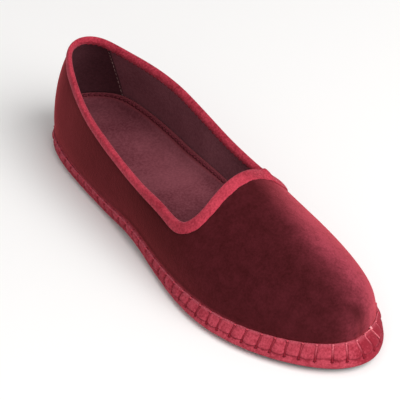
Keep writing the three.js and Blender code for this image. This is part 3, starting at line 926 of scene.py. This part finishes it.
def makeBlanketStitches():
    bars = bmesh.new()
    knots = bmesh.new()
    for k in range(stitchCount):

        def barAt(share, k=k):
            rise = mix(1.0, band["holeRise"] - 0.02, share)
            dive = 0.7 * ease(share, 0.86, 1.0)
            out = bandOut(k, rise) * (1 - ease(share, 0.85, 1.0)) + 0.12 - dive
            return bandPoint(stitchTurn(barStitch(k, rise)), rise, out)

        def knotAt(share, k=k):
            stitch = barStitch(k, 1.0) + (share - 0.5) * 0.13
            return bandPoint(stitchTurn(stitch), 1.0, 0.2 + 0.2 * math.sin(math.pi * share), 0.1)

        threadInto(bars, barAt, band["threadRadius"], 8)
        threadInto(knots, knotAt, band["knotRadius"], 3)
    peak = band["peakTurn"]
    tied = bmesh.new()

    def tiedAt(share):
        return bandPoint(peak, 1.0, 0.6 - 0.9 * share, 0.1 + 1.3 * share)

    def legAside(share):
        return bandPoint(peak - 0.12 * share, 1.0, 0.35 - 0.5 * share, 0.4)

    def legDown(share):
        return bandPoint(peak, 1.0 - 0.45 * share, 0.35, 0.0)

    threadInto(tied, tiedAt, band["tiedRadius"], 4)
    threadInto(knots, legAside, band["legAsideRadius"], 6)
    threadInto(knots, legDown, band["legDownRadius"], 6)
    addThreads(bars, "blanket_stitches", "band_cloth", "bar_thread", "bar", fade=True, atToe=True)
    addThreads(knots, "blanket_knots", "band_cloth", "knot_thread", "thread", atToe=True)
    addThreads(tied, "toe_knot", "band_cloth", "pale_knot", "knot")

    radius = band["edgeThreadRadius"]
    perBay = 6
    sides = 6

    def edgeAt(u, v):
        turn = stitchTurn(u * stitchCount)
        bow = math.sin(math.pi * (barSpace(u * stitchCount, 1.0) % 1.0))
        bow *= 0.15 + 0.85 * ease(stationOf(phiAt(turn)), 185, 225)
        middle = bandPoint(turn, 1.0, 0.2 - 0.3 * bow, 0.1 + 0.1 * bow)
        outward = (bandPoint(turn, 1.0, 1.0) - bandPoint(turn, 1.0, 0.0)).normalized()
        angle = ringAngle(v, sides)
        girth = radius * (1 - 0.45 * bow) * mm  # thin where it sinks in between two bars of the toe
        return middle + (outward * math.cos(angle) + Vector((0, 0, math.sin(angle)))) * girth

    bm = closeGrid(shapedGrid(stitchCount * perBay, sides, edgeAt))
    addPiece(bm, "edge_thread", threadMaterial("sunk_thread", clothTones["sunkThread"]))


# Insole: a padded sock with a turned-up rim and a sewn line inside it
insole = {
    "clear": 0.25,
    "rimRound": 0.9,
    "rimWidth": {"heel": 7.0, "toe": 2.5, "start": 110.0, "end": 215.0},
    "stitchIn": 2.4,
    "groove": 0.5,
    "grooveWidth": 0.8,
    "crown": 0.6,
    "dash": 2.1,
    "dashPitch": 3.1,
    "dashRadius": 0.75,
    "around": 360,
    "edgeLength": 560.0,
    "underIn": 12.0,
    "crownIn": 9.0,
    "lift": 0.05,  # over the covered midsole
    "middleIn": 20.0,  # the map's distance in from the edge for all of the middle
    "rimTone": tone(126, 58, 66),
}
footbedRows = [  # station, bed, lateral and medial rim over the mean feather line
    (8, 6.6, 9.6, 10.8), (22, 6.6, 9.6, 13.0), (40, 6.6, 9.2, 13.2), (85, 7.0, 8.6, 13.4),
    (125, 6.6, 7.8, 9.8), (200, 4.0, 4.6, 4.6), (240, 4.2, 5.2, 5.2),
]
bedOverMean = alongLast(footbedRows, 1)
rimOverMean = bothSides(footbedRows, 2)


def bedRise(phi):
    return bedOverMean(phi) - featherLift(phi)


def rimRise(phi, side):
    return rimOverMean[side](phi) - featherLift(phi)


def rimShare(phi):  # the rim narrows towards the toe
    return heelToToe(insole["rimWidth"], stationOf(phi)) / insole["rimWidth"]["heel"]


def insolePoint(turn, inward, rise):
    phi = phiAt(turn)
    side = sideAt(turn)
    depth = last["wall"] + insole["clear"] + inward
    theta = math.asin(min(0.9, rise / max(crestUnder(phi, depth), 1e-6)))
    point = lastPoint(phi, fromSide(theta, side), depth)
    point.z = (last["feather"] + featherLift(phi) + ground(centreY - point.y / mm) + rise) * mm
    return point


def insoleTop(turn, inward):  # the sock's surface, by distance in from its edge
    phi = phiAt(turn)
    width = heelToToe(insole["rimWidth"], stationOf(phi))
    rim, bed = rimRise(phi, sideAt(turn)), bedRise(phi)
    rounding = insole["rimRound"] * (1 - ease(inward, 0, 1.2))
    slope = mix(rim, bed, ease(inward, 0.6, width))
    fromStitch = inward - insole["stitchIn"] * rimShare(phi)
    return slope - rounding - insole["groove"] * hump(fromStitch, insole["grooveWidth"])


def makeInsole():
    inwards = [0.0, 0.3, 0.7, 1.2, 1.6, 2.0, 2.4, 2.8, 3.2, 3.8, 4.5, 5.2, 6.0, 7.0]
    rowCount = len(inwards) + 5

    def pointAt(u, v):
        row = round(v * rowCount)
        turn = 2 * halfTurn * u
        phi = phiAt(turn)
        width = rimShare(phi)
        rim = rimRise(phi, sideAt(turn))
        if row == 0:
            return middlePoint(turn, insole["underIn"], last["feather"] + featherLift(phi) + insole["lift"])
        if row < 3:
            return insolePoint(turn, 0.0, (insole["lift"], rim / 2)[row - 1])
        if row < 3 + len(inwards):
            inward = inwards[row - 3] * width
            return insolePoint(turn, inward, insoleTop(turn, inward))
        share = (row - 2 - len(inwards)) / (rowCount - 2 - len(inwards))
        outer = insolePoint(turn, inwards[-1] * width, bedRise(phi))
        crownIn = insole["crownIn"] * width
        middle = insolePoint(phi, crownIn, bedRise(phi))
        middle = (middle + insolePoint(2 * halfTurn - phi, crownIn, bedRise(phi))) / 2
        point = outer.lerp(middle, share)
        point.z += insole["crown"] * math.sin(share * math.pi / 2) * math.sin(phi) * mm
        return point

    def mapAt(u, v):  # millimetres along the edge and in from it
        row = round(v * rowCount)
        inward = 0.0 if row < 3 else insole["middleIn"]
        if 3 <= row < 3 + len(inwards):
            inward = inwards[row - 3]
        return u * insole["edgeLength"], inward

    bm = shapedGrid(insole["around"], rowCount, pointAt)
    layCloth(bm, mapAt)
    sock = twillMaterial("insole_twill", clothTones["insole"], insole["rimTone"])
    piece = addPiece(closeGrid(bm), "insole_sock", sock, "insole")

    bm = bmesh.new()
    sewnLine = Loop(lambda turn: insolePoint(turn, insole["stitchIn"], bedRise(phiAt(turn))))
    count = round(sewnLine.total / mm / insole["dashPitch"])

    def sewnAt(pitches, arch):
        turn = sewnLine.turnAt(pitches / count)
        inward = insole["stitchIn"] * rimShare(phiAt(turn))
        return insolePoint(turn, inward, insoleTop(turn, inward) + 0.35 * arch + 0.1)

    sewDashes(bm, insole, count, 0.0, sewnAt)
    addThreads(bm, "insole_stitches", "insole_cloth", "insole_thread", "darkThread")


# Upper: velvet over a lining, gathered at the toe
upper = {
    "wallColumns": 62,
    "throatColumns": 74,
    "rows": 40,
    "hemRoll": 0.4,  # the velvet rolls out a little before it turns in over the band
    "hemRise": 1.5,
    "velvetThick": 1.0,
    "liningThick": 0.7,
    "liningRows": 24,
}
toeGathers = [  # distance from the toe's tip along the feather line, medial positive; length, depth
    (-31.0, 9.0, 0.1), (-23.5, 11.0, 0.14), (-16.0, 9.0, 0.12), (-9.5, 12.0, 0.18),
    (-3.0, 10.0, 0.14), (4.0, 13.0, 0.18), (10.5, 10.0, 0.14), (17.0, 12.0, 0.16),
    (24.5, 9.0, 0.12), (32.0, 10.0, 0.1),
]
softDents = [  # station, across, reach along, reach across, depth: hollows are positive
    (222, -3, 10, 8, 0.4), (242, -2, 6, 5, 0.6), (196, 12, 20, 12, -0.5), (172, 30, 18, 9, 0.5),
    (108, 34, 26, 8, 0.6), (62, 30, 20, 9, -0.5), (30, 22, 14, 8, 0.5), (120, -25, 26, 8, 0.6),
    (60, -23, 18, 9, 0.5),
]
columns = columnsAround(upper["wallColumns"], upper["throatColumns"])
print("columns", len(columns))


def columnAt(share):
    return columns[round(share * len(columns)) % len(columns)]


def patchesAt(patches, station, across):
    total = 0.0
    for atStation, atAcross, along, aside, strength in patches:
        distance = math.hypot((station - atStation) / along, (across - atAcross) / aside)
        total += strength * hump(distance, 1.0)
    return total


def skinDent(column, length, footLength):
    phi, theta = column.at(length)
    flat = lastPoint(phi, theta, 0.0)
    dent = patchesAt(softDents, centreY - flat.y / mm, centreX - flat.x / mm)
    toFoot = column.length - length
    for at, reachUp, depth in toeGathers:
        narrow = hump(footLength - at - 0.12 * toFoot * (at / 30), 1.6 + 0.06 * toFoot)
        dent += depth * narrow * hump(max(0.0, toFoot - 1.5), reachUp)
    return dent


napAndSheenLook = {  # lightness of each part, and where it starts and ends by station or across; the vamp strip and the inner wall are painted sheen, the hem lines painted highlights
    "base": 0.108,
    "vamp": 0.94,
    "vampStart": (100, 160),
    "lead": (-12, 20),
    "innerWall": 0.5,
    "innerAcross": (-4, 12),
    "outerAcross": (10, 24),
    "outerEnd": (150, 175),
    "heelHemHighlight": 0.12,
    "heelHemEnd": (75, 110),
    "outerHemHighlight": 0.45,
    "outerHemAcross": (10, 20),
    "outerHemEnd": (175, 215),
}
napAndPaintedLightPatches = [  # station, across, reach along, reach across, change of the lightness: near the toe this is painted shade in its hollows and painted light on its front, at the heel a darker patch of pile
    (242, -3, 4, 5, -0.38), (236, -11, 6, 5, -0.16), (247, 2, 5, 7, 0.24), (245, -13, 5, 5, -0.25),
    (223, -3, 8, 4, -0.1), (34, -26, 17, 9, -0.4),
]
# Lightness of the outer wall, and how far across the painted sheen reaches over the vamp, by station
wallStations = [0, 20, 30, 42, 55, 70, 85, 100, 115, 130, 150]
wallNap = smoothLine(wallStations, [0.03, 0, 0.016, 0.02, 0.018, 0.043, 0.053, 0.043, 0.008, 0.01, 0.06])
leadStations = [100, 162, 172, 182, 192, 202, 222, 237, 252]
sheenEdge = smoothLine(leadStations, [-5, -8.5, -6, -3, -1.5, 1, 0, 1.5, 1])


def napAndSheenAt(station, across, height):  # how light the pile looks, with painted sheen over the inner wall and a strip of the vamp, and painted highlights along the hem
    hem = last["feather"] + featherLift(phiOf(station)) + ground(station)
    light = napAndSheenLook["vamp"] * ease(sheenEdge(station) - across, *napAndSheenLook["lead"]) ** 1.6
    inner = napAndSheenLook["innerWall"] * ease(-across, *napAndSheenLook["innerAcross"])
    napAndSheen = napAndSheenLook["base"] + mix(inner, light, ease(station, *napAndSheenLook["vampStart"]))
    outer = ease(across, *napAndSheenLook["outerAcross"]) * (1 - ease(station, *napAndSheenLook["outerEnd"]))
    napAndSheen = mix(napAndSheen, wallNap(station), outer)
    # painted highlights along the velvet's lower edge
    napAndSheen += napAndSheenLook["heelHemHighlight"] * hump(height - hem - 1.2, 2.6) * (1 - ease(station, *napAndSheenLook["heelHemEnd"]))
    outerSide = ease(across, *napAndSheenLook["outerHemAcross"]) * (1 - ease(station, *napAndSheenLook["outerHemEnd"]))
    napAndSheen += napAndSheenLook["outerHemHighlight"] * hump(height - hem - 0.3, 0.9) * outerSide
    return clamp(napAndSheen + patchesAt(napAndPaintedLightPatches, station, across))


def makeUpper():
    tipLength = bandLoop.lengthAt(halfTurn) / mm
    footLengths = []
    for column in columns:
        turn = column.footPhi if column.side == "lateral" else 2 * halfTurn - column.footPhi
        footLengths.append(bandLoop.lengthAt(turn) / mm - tipLength)
    rows = upper["rows"]
    tucks = [(0.25, -0.2), (1.0, -0.3)]  # depth and drop where the velvet turns in over the band
    rowCount = rows + len(tucks)

    def velvetAt(u, v):
        k = round(u * len(columns)) % len(columns)
        column = columns[k]
        row = round(v * rowCount)
        if row > rows:
            depth, drop = tucks[row - rows - 1]
            return column.point(column.length, depth, drop)
        share = 1 - (1 - row / rows) ** 1.3
        length = share * column.length
        roll = upper["hemRoll"] * hump(column.length - length - upper["hemRise"], upper["hemRise"])
        return column.point(length, skinDent(column, length, footLengths[k]) - roll)

    bm = closeGrid(shapedGrid(len(columns), rowCount, velvetAt))
    napAndSheenLayer = bm.verts.layers.float.new("napAndSheen")
    for vert in bm.verts:
        vert[napAndSheenLayer] = napAndSheenAt(centreY - vert.co.y / mm, centreX - vert.co.x / mm, vert.co.z / mm)
    addPiece(bm, "velvet_upper", velvetMaterial(), "upper", upper["velvetThick"], -1.0, 1)

    def liningAt(u, v):
        column = columnAt(u)
        return column.point(v * column.length, last["wall"])

    bm = closeGrid(shapedGrid(len(columns), upper["liningRows"], liningAt))
    lining = twillMaterial("lining_cloth", clothTones["lining"])
    addPiece(bm, "quarter_lining", lining, thick=upper["liningThick"])


# Heel lining: a darker patch inside the back, with a sewn front edge on each side
heelLining = {
    "topStation": 13.6,
    "footStation": 21.0,
    "thick": 0.35,
    "dash": 1.5,
    "dashPitch": 2.6,
    "dashRadius": 0.2,
    "seams": (0.012, 0.988),
}


def heelLiningAt(share, drop, depth):  # share runs from the medial seam round to the lateral one
    side = "medial" if share < 0.5 else "lateral"
    fromBack = abs(share - 0.5) * 2
    phi = phiOf(mix(heelLining["topStation"], heelLining["footStation"], drop)) * fromBack
    top = topEdge(side)
    length, _ = halve(top["start"], top["corner"], lambda length: top["phi"](length) < phi, 24)
    topTheta = top["theta"](length)
    footTheta = math.asin((rimRise(phi, side) - 1.5) / crestHeight(phi))
    theta = mix(topTheta - 0.035, footTheta, drop)
    return lastPoint(phi, fromSide(theta, side), depth)


def makeHeelLining():
    depth = last["wall"] + 0.05 + heelLining["thick"]
    bm = closeGrid(shapedGrid(40, 16, lambda u, v: heelLiningAt(u, v, depth)))
    cloth = twillMaterial("heel_lining_cloth", clothTones["heelLining"])
    addPiece(bm, "heel_lining", cloth, thick=heelLining["thick"])
    bm = bmesh.new()
    for share in heelLining["seams"]:
        seam = (heelLiningAt(share, 1, depth) - heelLiningAt(share, 0, depth)).length / mm
        count = round(seam / heelLining["dashPitch"])

        def seamAt(pitches, arch, share=share, count=count):
            return heelLiningAt(share, pitches / count, depth + 0.1 + 0.16 * arch)

        sewDashes(bm, heelLining, count, 0.2, seamAt)
    addThreads(bm, "heel_lining_stitches", "insole_cloth", "seam_thread", "paleThread")


# Binding: a tape folded over the top edge
binding = {
    "outside": {"side": 3.8, "throat": 5.8},  # width on the velvet
    "inside": 2.0,
    "ribPitch": 1.1,
    "uneven": 0.22,
    "lumpAt": 0.635,  # where the tape's ends meet, by share of the way around
    "lump": 1.5,
    "lumpReach": 0.016,
    "dash": 1.3,
    "dashPitch": 3.0,
    "dashRadius": 0.24,
    "dashDepth": 2.65,  # under the skin, on the tape's inner face
}
tapeSection = [  # drop as a share of the width, lift over the top edge, depth under the skin
    (1.04, 0.0, -0.05), (1.0, 0.0, -0.4), (0.88, 0.0, -0.85), (0.58, 0.0, -1.25), (0.22, 0.0, -1.3),
    (0.0, 0.2, -1.1), (0.0, 0.7, -0.6), (0.0, 0.95, 0.2), (0.0, 1.02, 0.9), (0.0, 0.95, 1.65),
    (0.0, 0.66, 2.35), (0.0, 0.12, 2.7), (-0.4, 0.0, 2.8), (-0.75, 0.0, 2.7), (-1.0, 0.0, 2.4),
    (-1.04, 0.0, 1.9), (-0.5, 0.0, 1.85), (0.0, 0.2, 1.85), (0.0, 0.2, -0.05), (0.5, 0.0, -0.05),
]


def tapePoint(column, share, lift, depth, around):
    outside = mix(binding["outside"]["side"], binding["outside"]["throat"], column.throat)
    uneven = math.sin(around * 96.0) * 0.6 + math.sin(around * 251.0 + 1.0) * 0.4
    outside += binding["uneven"] * uneven
    lump = binding["lump"] * hump(around - binding["lumpAt"], binding["lumpReach"])
    thicker = lump * ease(-depth, 0.05, 0.9)
    point = column.point(share * outside if share > 0 else -share * binding["inside"], depth - thicker)
    if lift:
        upward = (column.point(0.0, 0.9) - column.point(0.8, 0.9)).normalized()
        point += upward * lift * (1 + 0.4 * lump + 0.1 * uneven) * mm
    return point


def makeBinding():
    count = len(tapeSection)
    topPoints = [column.point(0, 0) for column in columns]
    lengths = runningLengths(topPoints + topPoints[:1], mm)
    ringLength = lengths[-1]

    def tapeAt(u, v):
        return tapePoint(columnAt(u), *tapeSection[round(v * count) % count], u % 1.0)

    bm = shapedGrid(len(columns), count, tapeAt)
    layCloth(bm, lambda u, v: (u * ringLength, v))
    tape = tapeMaterial(ringLength)
    addPiece(closeGrid(bm), "binding_tape", tape, "topline_binding", subdivide=1)

    def dashAt(pitches, arch):
        k, share = spanAt(lengths, pitches * binding["dashPitch"])
        drop = 0.8 * binding["inside"]
        depth = binding["dashDepth"]
        one = columns[k].point(drop, depth)
        two = columns[(k + 1) % len(columns)].point(drop, depth)
        inward = columns[k].point(drop, depth + 1) - one
        return one.lerp(two, share) + inward * (0.22 * arch - 0.05)

    bm = bmesh.new()
    sewDashes(bm, binding, int(ringLength / binding["dashPitch"]), 0.15, dashAt)
    addThreads(bm, "binding_stitches", "binding_tape", "binding_thread", "bindingThread")


# Studio: pale floor, soft light from the front, camera at the photo's angle
studio = {
    "cameraAt": (-0.539, -0.753, 0.7006),
    "aim": (0.0, 0.002, 0.024),
    "lens": 207.0,
    "floorTone": tone(248, 247, 246),
    "floorSize": 4.0,
    "worldTone": (1.0, 0.99, 0.985, 1.0),
    "world": 0.42,
    "key": {"at": (0.35, -1.3, 1.4), "size": 1.5, "power": 38.0},
    "fill": {"at": (-1.1, -1.2, 1.3), "size": 1.6, "power": 6.0},
}


def aimed(name, data, at):  # a light or camera that looks at the slipper
    holder = linked(name, data)
    holder.location = at
    holder.rotation_euler = (Vector(studio["aim"]) - Vector(at)).to_track_quat("-Z", "Y").to_euler()
    return holder


def makeStudio():
    bm = bmesh.new()
    bmesh.ops.create_grid(bm, x_segments=1, y_segments=1, size=studio["floorSize"])
    paint = newMaterial("floor_paint", {"Base Color": studio["floorTone"], "Roughness": 0.9})
    floor = meshObject(bm, "floor", paint)
    world = bpy.data.worlds.new("studio")
    world.use_nodes = True
    sky = world.node_tree.nodes["Background"]
    sky.inputs["Color"].default_value = studio["worldTone"]
    sky.inputs["Strength"].default_value = studio["world"]
    bpy.context.scene.world = world
    for name in ("key", "fill"):
        lamp = bpy.data.lights.new(name, "AREA")
        lamp.size = studio[name]["size"]
        lamp.energy = studio[name]["power"]
        aimed(name, lamp, studio[name]["at"])
    lens = bpy.data.cameras.new("camera")
    lens.lens = studio["lens"]
    bpy.context.scene.camera = aimed("camera", lens, studio["cameraAt"])
    bpy.context.scene.view_settings.view_transform = "Standard"
    print("studio ready")


makeStudio()
makeOutsole()
makeBand()
makeBlanketStitches()
makeInsole()
makeUpper()
makeHeelLining()
makeBinding()
